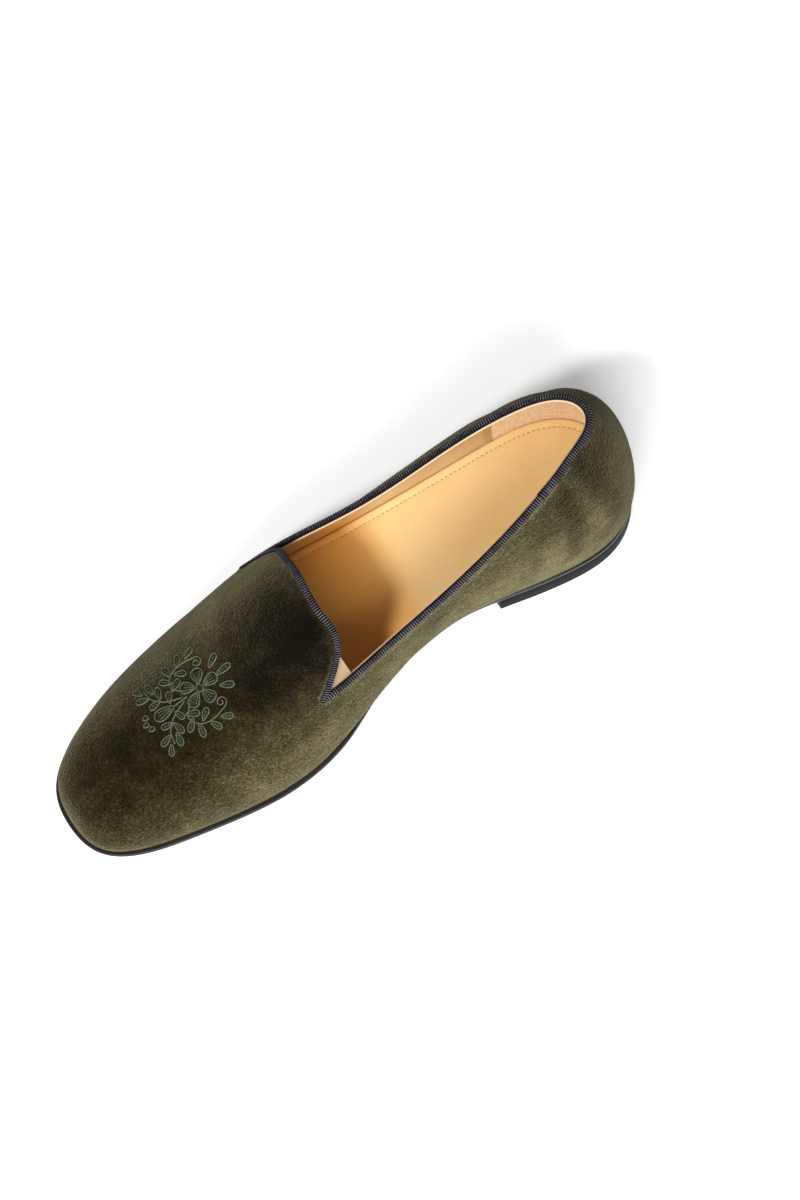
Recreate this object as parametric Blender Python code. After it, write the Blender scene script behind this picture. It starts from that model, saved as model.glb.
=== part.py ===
"""Slipper loafer, right shoe: a hollow velvet upper on a thin leather sole with a low heel.

The shoe stands on its sole with the toe towards -Y, the medial side towards +X and +Z up.
A last, given as a table of sections, drives every piece. Sizes are in millimetres until the meshes are made.
"""

from collections import namedtuple

import bmesh
import bpy
import numpy as np

MM = 0.001
MERGE_DISTANCE = 0.01
SLIVER_DISTANCE = 0.001
SHARP_ANGLE = np.radians(40.0)

# Clearance between pieces that are glued or sewn together
GAP = 0.3

# Place of the origin on the last, under the middle of the shoe
ORIGIN_STATION = 139.28
ORIGIN_X = 1.64

# One row for each section of the last, from the back of the heel to the tip of the toe.
# station: along the foot. medial, lateral: half widths at the feather edge, where the upper meets the sole.
# ridge_station, ridge_x, ridge_z: the crest line that the ribs of both sides run up to.
# feather_z: height of the feather edge. bulge: how far a side leans out. rise: how high its lean goes.
# shoulder: how square a side turns in to the crest. topline: height of the collar's edge.
LAST_COLUMNS = (
    "station", "medial", "lateral", "ridge_station", "ridge_x", "feather_z", "ridge_z",
    "bulge_medial", "bulge_lateral", "rise", "shoulder_medial", "shoulder_lateral",
    "topline_medial", "topline_lateral",
)
LAST = (
    (-4.0, -3.0, -3.0, 34.0, -3.0, 16.5, 90.0, 9.0, 9.0, 25.0, 0.81, 0.81, 80.0, 80.0),
    (2.0, 18.0, -22.0, 36.0, -3.0, 16.4, 90.0, 10.1, 8.5, 24.0, 0.42, 0.84, 80.0, 79.0),
    (22.5, 33.0, -34.0, 44.0, -2.5, 16.0, 89.5, 7.8, 7.5, 24.5, 0.31, 0.74, 78.3, 75.0),
    (57.0, 31.5, -37.0, 66.0, -1.0, 15.0, 87.5, 6.9, 8.5, 24.5, 0.62, 0.73, 72.8, 70.1),
    (95.0, 25.5, -38.5, 98.0, 2.0, 13.0, 82.5, 13.0, 6.5, 25.0, 0.57, 0.56, 57.0, 56.6),
    (130.0, 28.5, -41.5, 130.0, 3.0, 9.0, 74.5, 16.0, 1.0, 18.5, 0.54, 0.82, 47.5, 46.5),
    (165.0, 42.0, -44.2, 165.0, 5.0, 5.5, 63.0, 7.0, 1.5, 16.0, 0.57, 0.82, 44.0, 32.0),
    (199.5, 47.0, -40.5, 198.0, 7.0, 4.5, 46.5, 4.5, 3.0, 13.5, 0.62, 0.60, 42.0, 34.0),
    (234.5, 43.0, -32.5, 228.0, 7.5, 6.0, 37.5, 4.0, 3.0, 11.5, 0.68, 0.61, 40.0, 36.0),
    (261.5, 37.5, -21.0, 246.0, 8.0, 8.5, 34.0, 3.5, 3.0, 10.5, 0.75, 0.72, 40.0, 40.0),
    (278.5, 27.0, -7.0, 255.0, 8.5, 11.0, 32.5, 2.5, 2.0, 9.0, 0.79, 0.79, 40.0, 40.0),
    (283.0, 9.5, 9.5, 258.0, 8.5, 12.0, 32.0, 0.0, 0.0, 8.5, 0.81, 0.81, 40.0, 40.0),
)
Section = namedtuple(
    "Section", "station half ridge_station ridge_x feather_z ridge_z bulge rise shoulder topline"
)
MEDIAL = 1
LATERAL = -1
SIDE_NAMES = {MEDIAL: "medial", LATERAL: "lateral"}

# Positions along the last are counted in rows of the table
HEEL_END = 0.0
TOE_END = len(LAST) - 1.0
VAMP_START = 6.0
SMALL_STEP = 0.01
HALVINGS = 50
END_CROWDING = 0.6

# Upper: velvet, stiffener and lining together, and the line of its throat
WALL = 2.2
CORNER_STATION = 164.0
THROAT_STATION = 146.5
THROAT_BEND = {MEDIAL: 0.80, LATERAL: 0.58}
BEND_REACH = 0.6
TIP_SPLIT = 0.5
QUARTER_RIBS = 26
HEEL_CROWDING = 1.15
VAMP_RIBS = 22
QUARTER_ROWS = 8
VAMP_ROWS = 10

# Outsole: how far its edge stands out from the feather edge, by station
SOLE_THICKNESS = 4.5
SOLE_EDGE_STATIONS = (0.0, 60.0, 95.0, 135.0, 165.0, 200.0, 283.0)
SOLE_EDGE_OUT = (0.9, 0.7, -0.2, 0.0, 1.8, 2.2, 1.8)
SOLE_EDGE_BULGE = 0.25
SOLE_EDGE_ROUND = 1.1
SOLE_RUNGS = 56

# Heel block under the back of the outsole
BREAST_STATION = 76.0
HEEL_FLARE = 0.7
HEEL_TOP_INSET = 0.3
HEEL_EDGE_ROUND = 0.5
HEEL_RUNGS = 22

# Insole inside the upper
INSOLE_THICKNESS = 2.4
INSOLE_CLEARANCE = 0.6
INSOLE_RUNGS = 44

# Grosgrain tape folded over the edges of the collar and the throat
TAPE = 0.5
TAPE_CLEARANCE = 0.4
TAPE_OUTER_WIDTH = 2.6
TAPE_INNER_WIDTH = 2.2
TAPE_CROWN = 1.3
COLLAR_TAPE_END = 0.17
THROAT_TAPE_START = 2

# Colour and roughness of each material
VELVET = ((0.105, 0.095, 0.05), 0.9)
GROSGRAIN = ((0.012, 0.013, 0.018), 0.7)
TAN_LEATHER = ((0.72, 0.45, 0.20), 0.45)
SOLE_LEATHER = ((0.018, 0.015, 0.014), 0.35)
HEEL_RUBBER = ((0.03, 0.031, 0.035), 0.6)


def closed_spline(values):
    """Second derivatives of the smooth closed curve through rows of values, one step apart."""
    count = len(values)
    system = 4.0 * np.eye(count) + np.roll(np.eye(count), 1, 0) + np.roll(np.eye(count), -1, 0)
    return np.linalg.solve(system, 6.0 * (np.roll(values, -1, 0) - 2.0 * values + np.roll(values, 1, 0)))


def side_columns(side):
    """The table's columns that one side uses, in the order of a Section's fields."""
    name = SIDE_NAMES[side]
    wanted = (
        "station", name, "ridge_station", "ridge_x", "feather_z", "ridge_z",
        f"bulge_{name}", "rise", f"shoulder_{name}", f"topline_{name}",
    )
    return [LAST_COLUMNS.index(column) for column in wanted]


ROWS = np.array(LAST)
LOOP = np.vstack([ROWS[:, side_columns(MEDIAL)], ROWS[-2:0:-1][:, side_columns(LATERAL)]])
LOOP_CURVATURE = closed_spline(LOOP)


def section(position, side):
    """The last's values at a position, counted in rows from the heel."""
    place = position % len(LOOP) if side == MEDIAL else (len(LOOP) - position) % len(LOOP)
    row = int(place) % len(LOOP)
    after = (row + 1) % len(LOOP)
    f = place - int(place)
    g = 1.0 - f
    curve = (g**3 - g) * LOOP_CURVATURE[row] + (f**3 - f) * LOOP_CURVATURE[after]
    return Section(*(LOOP[row] * g + LOOP[after] * f + curve / 6.0))


def ridge_slope(position, side):
    """How fast the crest climbs along the foot. Behind the vamp it is cut away, and the ribs are level."""
    if position < VAMP_START:
        return 0.0
    place = min(position, TOE_END - 2 * SMALL_STEP)
    before = section(place - SMALL_STEP, side)
    after = section(place + SMALL_STEP, side)
    return (after.ridge_z - before.ridge_z) / (after.ridge_station - before.ridge_station)


def surface(position, t, side):
    """A point on the upper's outer face: t runs up the rib from the feather edge at 0 to the crest at 1."""
    here = section(position, side)
    across = np.array([here.half - here.ridge_x, here.ridge_station - here.station])
    reach = np.hypot(*across)
    across /= reach
    b0, b1, b2, b3 = (1 - t) ** 3, 3 * t * (1 - t) ** 2, 3 * t**2 * (1 - t), t**3
    square = here.shoulder * reach
    out = b0 * reach + b1 * (reach + here.bulge) + b2 * square
    crown = here.ridge_z - ridge_slope(position, side) * across[1] * square
    up = b0 * here.feather_z + b1 * (here.feather_z + here.rise) + b2 * crown + b3 * here.ridge_z
    x = here.ridge_x + across[0] * out
    y = -here.ridge_station + across[1] * out
    return np.array([x - ORIGIN_X, y + ORIGIN_STATION, up])


def position_at(station):
    """The position on the last whose feather edge is at a station."""
    low, high = HEEL_END, TOE_END
    for _ in range(HALVINGS):
        middle = (low + high) / 2
        if section(middle, MEDIAL).station < station:
            low = middle
        else:
            high = middle
    return (low + high) / 2


def topline(position, side):
    """How far up a rib the collar's edge lies."""
    height = section(position, side).topline
    low, high = 0.0, 1.0
    for _ in range(HALVINGS):
        middle = (low + high) / 2
        if surface(position, middle, side)[2] < height:
            low = middle
        else:
            high = middle
    return (low + high) / 2


CORNER = position_at(CORNER_STATION)
CORNER_T = {side: topline(CORNER, side) for side in (MEDIAL, LATERAL)}


def throat(t, side):
    """Position of the throat's edge at a height: straight across the instep, then sweeping to the corner."""
    drop = np.clip((THROAT_BEND[side] - t) / (THROAT_BEND[side] - CORNER_T[side]), 0.0, 1.0)
    return position_at(THROAT_STATION + (CORNER_STATION - THROAT_STATION) * drop**2)


def quarter_positions():
    """Positions of the quarter's ribs from heel to throat corner, closer together round the heel."""
    return [CORNER * (index / QUARTER_RIBS) ** HEEL_CROWDING for index in range(QUARTER_RIBS + 1)]


def throat_height(row, side):
    """Height on the rib of one point along the throat's edge, from the corner at row 0 to the crest."""
    return CORNER_T[side] + (1.0 - CORNER_T[side]) * max(0, row) / VAMP_ROWS


def quarter_rib(position, side):
    """Points of one side from the feather edge up to the collar's edge."""
    top = topline(position, side)
    return [surface(position, top * row / QUARTER_ROWS, side) for row in range(QUARTER_ROWS + 1)]


def vamp_rib(index, side):
    """Points of one side from the feather edge to the crest. Ribs near the throat bend to follow its edge."""
    along = index / VAMP_RIBS
    position = CORNER + (TOE_END - CORNER) * along
    bend = max(0.0, 1.0 - along / BEND_REACH) ** 2
    split = CORNER_T[side] + (TIP_SPLIT - CORNER_T[side]) * along
    heights = [split * row / QUARTER_ROWS for row in range(QUARTER_ROWS)]
    heights += [split + (1.0 - split) * row / VAMP_ROWS for row in range(VAMP_ROWS + 1)]
    points = []
    for row, t in enumerate(heights):
        edge = throat(throat_height(row - QUARTER_ROWS, side), side)
        points.append(surface(position + bend * (edge - CORNER), t, side))
    return points


def new_object(name, points, faces, finish):
    """A mesh object with its own material, from points in millimetres."""
    colour, roughness = finish
    shape = bmesh.new()
    corners = [shape.verts.new(np.asarray(point) * MM) for point in points]
    for face in faces:
        shape.faces.new([corners[index] for index in face])
    bmesh.ops.remove_doubles(shape, verts=shape.verts, dist=MERGE_DISTANCE * MM)
    bmesh.ops.dissolve_degenerate(shape, edges=shape.edges, dist=SLIVER_DISTANCE * MM)
    bmesh.ops.recalc_face_normals(shape, faces=shape.faces)
    mesh = bpy.data.meshes.new(name)
    shape.to_mesh(mesh)
    shape.free()
    mesh.shade_smooth()
    mesh.set_sharp_from_angle(angle=SHARP_ANGLE)
    material = bpy.data.materials.new(name)
    material.use_nodes = True
    shader = material.node_tree.nodes["Principled BSDF"]
    shader.inputs["Base Color"].default_value = (*colour, 1.0)
    shader.inputs["Roughness"].default_value = roughness
    mesh.materials.append(material)
    made = bpy.data.objects.new(name, mesh)
    bpy.context.scene.collection.objects.link(made)
    return made


def grid_faces(rows, columns, start=0):
    """Four-sided faces of a grid of points stored row by row."""
    faces = []
    for row in range(rows - 1):
        for column in range(columns - 1):
            first = start + row * columns + column
            faces.append((first, first + 1, first + columns + 1, first + columns))
    return faces


def build_upper():
    """The hollow upper, open at the collar and throat and open underneath."""
    points = []
    faces = []
    for side in (MEDIAL, LATERAL):
        ribs = [quarter_rib(position, side) for position in quarter_positions()]
        faces += grid_faces(len(ribs), QUARTER_ROWS + 1, len(points))
        points += [point for rib in ribs for point in rib]
        ribs = [vamp_rib(index, side) for index in range(VAMP_RIBS + 1)]
        faces += grid_faces(len(ribs), QUARTER_ROWS + VAMP_ROWS + 1, len(points))
        points += [point for rib in ribs for point in rib]
    upper = new_object("upper", points, faces, VELVET)
    shell = upper.modifiers.new("wall", "SOLIDIFY")
    shell.thickness = WALL * MM
    shell.offset = -1.0
    shell.use_quality_normals = True


def edge_point(position, side, out, height):
    """A point beside the feather edge, moved out square to the outline, at a given height."""
    before = section(position - SMALL_STEP, side)
    after = section(position + SMALL_STEP, side)
    here = section(position, side)
    along = np.array([after.half - before.half, before.station - after.station])
    along /= np.hypot(*along)
    square = np.array([-along[1], along[0]]) * side
    x = here.half + square[0] * out
    y = -here.station + square[1] * out
    return np.array([x - ORIGIN_X, y + ORIGIN_STATION, height])


def ladder(loops, closed_end=True):
    """Points and faces of a slab: loops of (medial, lateral) rungs, stacked from bottom to top."""
    rungs = len(loops[0])
    points = [point for loop in loops for rung in loop for point in rung]
    faces = []
    for level in range(len(loops) - 1):
        for rung in range(rungs - 1):
            for side in (0, 1):
                low = 2 * (level * rungs + rung) + side
                high = low + 2 * rungs
                faces.append((low, low + 2, high + 2, high))
        if not closed_end:
            low = 2 * (level * rungs + rungs - 1)
            high = low + 2 * rungs
            faces.append((low, low + 1, high + 1, high))
    for level in (0, len(loops) - 1):
        for rung in range(rungs - 1):
            first = 2 * (level * rungs + rung)
            faces.append((first, first + 1, first + 3, first + 2))
    return points, [face for face in faces if distinct(points, face)]


def distinct(points, face):
    """Whether a face still has an area once its coincident corners are merged."""
    keys = {tuple(np.round(points[index] / MERGE_DISTANCE)) for index in face}
    return len(keys) > 2


def round_spaced(count, start, end):
    """Positions along the last, closer together near the round ends of heel and toe."""
    turns = np.linspace(0.0, np.pi, count)
    even = np.linspace(0.0, 1.0, count)
    eased = (1.0 - np.cos(turns)) / 2
    return start + (end - start) * (END_CROWDING * eased + (1.0 - END_CROWDING) * even)


def sole_out(station):
    """How far the sole's edge stands out from the feather edge."""
    return float(np.interp(station, SOLE_EDGE_STATIONS, SOLE_EDGE_OUT))


def sole_bottom(feather_z):
    """Underside of the outsole below a feather edge of this height. The forefoot lies flat on the floor."""
    return max(0.0, feather_z - GAP - SOLE_THICKNESS)


def rung(position, out, height):
    """The medial and lateral points of one cross line."""
    return [edge_point(position, side, out, height) for side in (MEDIAL, LATERAL)]


def build_outsole():
    """Thin leather sole with an arch, a toe spring and rounded edges."""
    loops = [[], [], [], []]
    for position in round_spaced(SOLE_RUNGS, HEEL_END, TOE_END):
        here = section(position, MEDIAL)
        out = sole_out(here.station)
        top = here.feather_z - GAP
        bottom = sole_bottom(here.feather_z)
        loops[0].append(rung(position, out - SOLE_EDGE_ROUND, bottom))
        loops[1].append(rung(position, out, bottom + SOLE_EDGE_ROUND))
        loops[2].append(rung(position, out + SOLE_EDGE_BULGE, (top + bottom) / 2))
        loops[3].append(rung(position, out, top))
    points, faces = ladder(loops)
    new_object("outsole", points, faces, SOLE_LEATHER)


def build_heel():
    """Low block under the back of the outsole, straight across at its breast."""
    loops = [[], [], []]
    for position in round_spaced(HEEL_RUNGS, HEEL_END, position_at(BREAST_STATION)):
        here = section(position, MEDIAL)
        out = sole_out(here.station)
        loops[0].append(rung(position, out + HEEL_FLARE - HEEL_EDGE_ROUND, 0.0))
        loops[1].append(rung(position, out + HEEL_FLARE, HEEL_EDGE_ROUND))
        loops[2].append(rung(position, out - HEEL_TOP_INSET, sole_bottom(here.feather_z) - GAP))
    points, faces = ladder(loops, closed_end=False)
    new_object("heel", points, faces, HEEL_RUBBER)


def build_insole():
    """Leather insole lying on the outsole inside the upper."""
    loops = [[], []]
    inset = -(WALL + INSOLE_CLEARANCE)
    for position in round_spaced(INSOLE_RUNGS, HEEL_END, TOE_END):
        low = section(position, MEDIAL).feather_z
        loops[0].append(rung(position, inset, low))
        loops[1].append(rung(position, inset, low + INSOLE_THICKNESS))
    points, faces = ladder(loops)
    new_object("insole", points, faces, TAN_LEATHER)


def tape_profile():
    """Section of a folded tape: offset out of the upper's face, and distance in from the upper's edge."""
    near = TAPE_CLEARANCE
    far = TAPE_CLEARANCE + TAPE
    return (
        (far, TAPE_OUTER_WIDTH),
        (far, 0.0),
        (-WALL / 2, -TAPE_CROWN),
        (-WALL - far, 0.0),
        (-WALL - far, TAPE_INNER_WIDTH),
        (-WALL - near, TAPE_INNER_WIDTH),
        (-WALL - near, -near),
        (near, -near),
        (near, TAPE_OUTER_WIDTH),
    )


def tape_ring(place, along):
    """The tape's section at one place on the upper's edge, square to the edge's direction."""
    position, t, side = place
    step = SMALL_STEP
    down_foot = (surface(position + step, t, side) - surface(position - step, t, side)) / (2 * step)
    up_rib = (surface(position, t + step, side) - surface(position, t - step, side)) / (2 * step)
    normal = np.cross(up_rib, down_foot) * side
    normal /= np.linalg.norm(normal)
    inward = np.cross(along, normal)
    inward /= np.linalg.norm(inward)
    ring = []
    for out, depth in tape_profile():
        shift = np.linalg.lstsq(np.column_stack([down_foot, up_rib]), inward * depth, rcond=None)[0]
        moved = surface(position + shift[0], t + shift[1], side)
        ring.append(moved + normal * out)
    return ring


def build_tape(name, places):
    """A tape folded over the upper's edge, along a list of places that runs with the upper on its right."""
    centres = [surface(*place) for place in places]
    rings = []
    for index, place in enumerate(places):
        before = centres[max(index - 1, 0)]
        after = centres[min(index + 1, len(places) - 1)]
        rings.append(tape_ring(place, (after - before) / np.linalg.norm(after - before)))
    size = len(rings[0])
    points = [point for ring in rings for point in ring]
    faces = [tuple(range(size)), tuple(range(len(points) - size, len(points)))]
    for row in range(len(rings) - 1):
        for column in range(size):
            beside = (column + 1) % size
            low = row * size
            faces.append((low + column, low + beside, low + size + beside, low + size + column))
    new_object(name, points, faces, GROSGRAIN)


def collar_places():
    """Places along the collar's edge, from the medial corner round the heel to the lateral corner."""
    end = CORNER - COLLAR_TAPE_END
    positions = [position for position in quarter_positions() if position < end] + [end]
    places = [(position, topline(position, MEDIAL), MEDIAL) for position in reversed(positions)]
    places += [(position, topline(position, LATERAL), LATERAL) for position in positions[1:]]
    return places


def throat_places():
    """Places along the throat's edge, from the lateral corner over the instep to the medial corner."""
    places = {}
    for side in (LATERAL, MEDIAL):
        heights = [throat_height(row, side) for row in range(THROAT_TAPE_START, VAMP_ROWS + 1)]
        places[side] = [(throat(t, side), t, side) for t in heights]
    return places[LATERAL] + places[MEDIAL][-2::-1]


def main():
    for old in list(bpy.data.objects):
        bpy.data.objects.remove(old)
    build_outsole()
    build_heel()
    build_insole()
    build_upper()
    build_tape("collar_binding", collar_places())
    build_tape("throat_binding", throat_places())


main()
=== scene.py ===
"""Looks of the slipper loafer: a right velvet shoe, empty, standing on a plain pale floor."""

from collections import namedtuple

import bpy
import numpy as np
from mathutils import Matrix, Vector, noise
from mathutils.bvhtree import BVHTree
from mathutils.kdtree import KDTree


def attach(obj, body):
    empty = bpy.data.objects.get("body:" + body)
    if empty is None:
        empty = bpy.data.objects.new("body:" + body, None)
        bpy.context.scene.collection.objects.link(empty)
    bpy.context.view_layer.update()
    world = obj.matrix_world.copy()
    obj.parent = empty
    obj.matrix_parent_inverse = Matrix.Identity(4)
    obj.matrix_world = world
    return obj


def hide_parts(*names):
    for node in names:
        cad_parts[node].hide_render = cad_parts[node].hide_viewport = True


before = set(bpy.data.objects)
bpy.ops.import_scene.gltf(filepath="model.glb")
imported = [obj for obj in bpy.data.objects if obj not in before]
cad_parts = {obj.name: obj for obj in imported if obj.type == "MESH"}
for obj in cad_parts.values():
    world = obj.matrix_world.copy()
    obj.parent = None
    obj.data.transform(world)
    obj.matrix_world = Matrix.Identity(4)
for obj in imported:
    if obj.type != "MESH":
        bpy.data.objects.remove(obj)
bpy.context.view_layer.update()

BODY = "root"
MM = 0.001
WELD = 0.002

# The last, as in the part's source: a row for each section from the back of the heel to the toe's tip
ORIGIN_STATION = 139.28
ORIGIN_X = 1.64
LAST_COLUMNS = (
    "station", "medial", "lateral", "ridge_station", "ridge_x", "feather_z", "ridge_z",
    "bulge_medial", "bulge_lateral", "rise", "shoulder_medial", "shoulder_lateral",
    "topline_medial", "topline_lateral",
)
LAST = (
    (-4.0, -3.0, -3.0, 34.0, -3.0, 16.5, 90.0, 9.0, 9.0, 25.0, 0.81, 0.81, 80.0, 80.0),
    (2.0, 18.0, -22.0, 36.0, -3.0, 16.4, 90.0, 10.1, 8.5, 24.0, 0.42, 0.84, 80.0, 79.0),
    (22.5, 33.0, -34.0, 44.0, -2.5, 16.0, 89.5, 7.8, 7.5, 24.5, 0.31, 0.74, 78.3, 75.0),
    (57.0, 31.5, -37.0, 66.0, -1.0, 15.0, 87.5, 6.9, 8.5, 24.5, 0.62, 0.73, 72.8, 70.1),
    (95.0, 25.5, -38.5, 98.0, 2.0, 13.0, 82.5, 13.0, 6.5, 25.0, 0.57, 0.56, 57.0, 56.6),
    (130.0, 28.5, -41.5, 130.0, 3.0, 9.0, 74.5, 16.0, 1.0, 18.5, 0.54, 0.82, 47.5, 46.5),
    (165.0, 42.0, -44.2, 165.0, 5.0, 5.5, 63.0, 7.0, 1.5, 16.0, 0.57, 0.82, 44.0, 32.0),
    (199.5, 47.0, -40.5, 198.0, 7.0, 4.5, 46.5, 4.5, 3.0, 13.5, 0.62, 0.60, 42.0, 34.0),
    (234.5, 43.0, -32.5, 228.0, 7.5, 6.0, 37.5, 4.0, 3.0, 11.5, 0.68, 0.61, 40.0, 36.0),
    (261.5, 37.5, -21.0, 246.0, 8.0, 8.5, 34.0, 3.5, 3.0, 10.5, 0.75, 0.72, 40.0, 40.0),
    (278.5, 27.0, -7.0, 255.0, 8.5, 11.0, 32.5, 2.5, 2.0, 9.0, 0.79, 0.79, 40.0, 40.0),
    (283.0, 9.5, 9.5, 258.0, 8.5, 12.0, 32.0, 0.0, 0.0, 8.5, 0.81, 0.81, 40.0, 40.0),
)
Section = namedtuple(
    "Section", "station half ridge_station ridge_x feather_z ridge_z bulge rise shoulder topline"
)
MEDIAL = 1
LATERAL = -1
SIDES = (MEDIAL, LATERAL)
SIDE_NAMES = {MEDIAL: "medial", LATERAL: "lateral"}
HEEL_END = 0.0
TOE_END = len(LAST) - 1.0
VAMP_START = 6.0
POSITION_SAMPLES = 6001
SMALL_STEP = 0.01
HALVINGS = 40
GAP = 0.3

# Upper: the wall's layers, and the line of its throat
WALL = 2.2
VELVET_THICKNESS = 1.2
CORNER_STATION = 164.0
THROAT_STATION = 147.1
THROAT_DIP = 1.3
DIP_START = 0.80
THROAT_BEND = {MEDIAL: 0.84, LATERAL: 0.58}
THROAT_SWEEP = {MEDIAL: 2.6, LATERAL: 2.0}

# Fineness of the upper's meshes
BEND_REACH = 0.6
TIP_SPLIT = 0.5
HEEL_CROWDING = 1.15
VELVET_MESH = dict(quarter_ribs=150, vamp_ribs=104, quarter_rows=40, vamp_rows=42)
LINING_MESH = dict(quarter_ribs=120, vamp_ribs=50, quarter_rows=48, vamp_rows=20)
EDGE_RIBS = 400
GRIP_RIBS = 90
GRIP_ROWS = 18
SEAM_RIBS = 8
TAB_ROWS = 14
TAB_COLUMNS = 10
EDGE_SAMPLES = 700
THROAT_SAMPLES = 200
CREASE_SAMPLES = 40

# Velvet beside its cut edge, each as height or tone, distance from the edge and width. The tone is a
# painted sheen on the raised pile.
EDGE_ROLL = (0.45, 3.6, 1.3)
EDGE_DIP = (-0.25, 0.8, 1.7)
EDGE_PILE_SHEEN = (0.26, 2.9, 0.9)

# Unevenness of the velvet: sizes of its waves, streaks and mottle, and how much each shows
WAVE_SIZE = (14.0, 14.0, 14.0)
WAVE_HEIGHT = 0.14
WAVE_NAP = 0.06
STREAK_SIZE = (5.0, 5.0, 18.0)
STREAK_NAP = 0.07
MOTTLE_SIZE = (6.0, 6.0, 6.0)
MOTTLE_SHARE = 0.5

# Inside the upper: offsets from its outer face and its cut edge. Drop, rise and tuck are shares.
LINING_OUTER = -1.8
LINING_INNER = -2.4
LINING_LIFT = -0.25
VAMP_LINING_LIFT = -1.0
EDGE_HEIGHTS = (-0.25, 0.06)
EDGE_OUTER = -1.85
EDGE_INNER = -2.5
GRIP_STATION = 43.0
GRIP_OUTER = LINING_OUTER - 0.02
GRIP_INNER = -WALL - 0.3
GRIP_DROP = 0.010
SEAM_SPAN = (-3.0, 0.75)
SEAM_OUTER = -WALL - 0.1
SEAM_INNER = GRIP_INNER - 0.35
SEAM_DROP = 0.012
TAB_REACH = 14.5
TAB_RISE = 0.13
TAB_TUCK = 0.12
TAB_OUTER = -1.5
TAB_INNER = -WALL - 0.1

# Painted shade: the leather made warmer and darker where it runs in under the vamp
PAINTED_SHADE_FROM = 94.0
PAINTED_SHADE_TO = 124.0
PAINTED_SHADE_TINT = (1.0, 0.72, 0.36)

# Outsole, heel and insole
SOLE_THICKNESS = 4.5
SOLE_EDGE_STATIONS = (0.0, 60.0, 95.0, 135.0, 165.0, 200.0, 283.0)
SOLE_EDGE_OUT = (0.9, 0.7, -0.2, 0.0, 1.8, 2.2, 1.8)
SOLE_RUNGS = 150
SOLE_COLUMNS = 8
BREAST_STATION = 76.0
HEEL_RUNGS = 70
HEEL_COLUMNS = 1
HEEL_GAP = 0.05
INSOLE_INSET = 2.5
END_CROWDING = 0.6

# Grosgrain tape folded over the edges of collar and throat. Overrun and shortfall are in rows of the last.
RIB_PITCH = 1.12
RIB_HEIGHT = 0.24
RIB_SAMPLES = 6
TAPE_WIDTH = 2.2
JOINT_STATION = 40.0
JOINT_OVERLAP = 7.0
JOINT_RAISE = 0.55
FRONT_OVERRUN = 0.01
BACK_SHORTFALL = 0.02
THROAT_TAIL = 2.6
THROAT_RAISE = 0.3
RAISED_FROM = -0.6
FRONT_SAMPLES = 600
BACK_SAMPLES = 2400
ACROSS_SAMPLES = 1200

# Stitches on the insole
STITCH_PITCH = 2.3
STITCH_LENGTH = 1.5
STITCH_RADIUS = 0.3
STITCH_INSET = 6.4
STITCH_HEIGHT = 2.2
STITCH_REACH = 0.4
STITCH_SAMPLES = 3000

# Camera, from the photograph's 800 by 1200 frame
IMAGE_HEIGHT = 1200.0
FOCAL_PIXELS = 2311.0
SENSOR = 36.0
CAMERA_AZIMUTH = 69.13
CAMERA_ELEVATION = 74.42
CAMERA_ROLL = -11.66
CAMERA_DISTANCE = 1000.0
CAMERA_TARGET = (4.81, 26.04, 20.0)


# Shape of the last


def closed_spline(values):
    """Second derivatives of the smooth closed curve through rows of values, one step apart."""
    count = len(values)
    system = 4.0 * np.eye(count) + np.roll(np.eye(count), 1, 0) + np.roll(np.eye(count), -1, 0)
    return np.linalg.solve(system, 6.0 * (np.roll(values, -1, 0) - 2.0 * values + np.roll(values, 1, 0)))


def side_columns(side):
    """The table's columns that one side uses, in the order of a Section's fields."""
    name = SIDE_NAMES[side]
    wanted = (
        "station", name, "ridge_station", "ridge_x", "feather_z", "ridge_z",
        f"bulge_{name}", "rise", f"shoulder_{name}", f"topline_{name}",
    )
    return [LAST_COLUMNS.index(column) for column in wanted]


ROWS = np.array(LAST)
LOOP = np.vstack([ROWS[:, side_columns(MEDIAL)], ROWS[-2:0:-1][:, side_columns(LATERAL)]])
LOOP_CURVATURE = closed_spline(LOOP)


def section(around):
    """The last's values at places counted in rows from the heel, above zero medial and below lateral."""
    place = np.mod(np.asarray(around, float), len(LOOP))
    row = np.floor(place).astype(int) % len(LOOP)
    after = (row + 1) % len(LOOP)
    f = (place - np.floor(place))[..., None]
    g = 1.0 - f
    curve = (g**3 - g) * LOOP_CURVATURE[row] + (f**3 - f) * LOOP_CURVATURE[after]
    return Section(*np.moveaxis(LOOP[row] * g + LOOP[after] * f + curve / 6.0, -1, 0))


def ridge_slope(around):
    """How fast the crest climbs along the foot. Behind the vamp it is cut away, and the ribs are level."""
    position = np.abs(around)
    place = np.minimum(position, TOE_END - 2 * SMALL_STEP) * np.where(around < 0, -1.0, 1.0)
    before = section(place - SMALL_STEP)
    after = section(place + SMALL_STEP)
    run = after.ridge_station - before.ridge_station
    slope = (after.ridge_z - before.ridge_z) / np.where(np.abs(run) < 1e-9, 1e-9, run)
    return np.where(position < VAMP_START, 0.0, slope)


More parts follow.
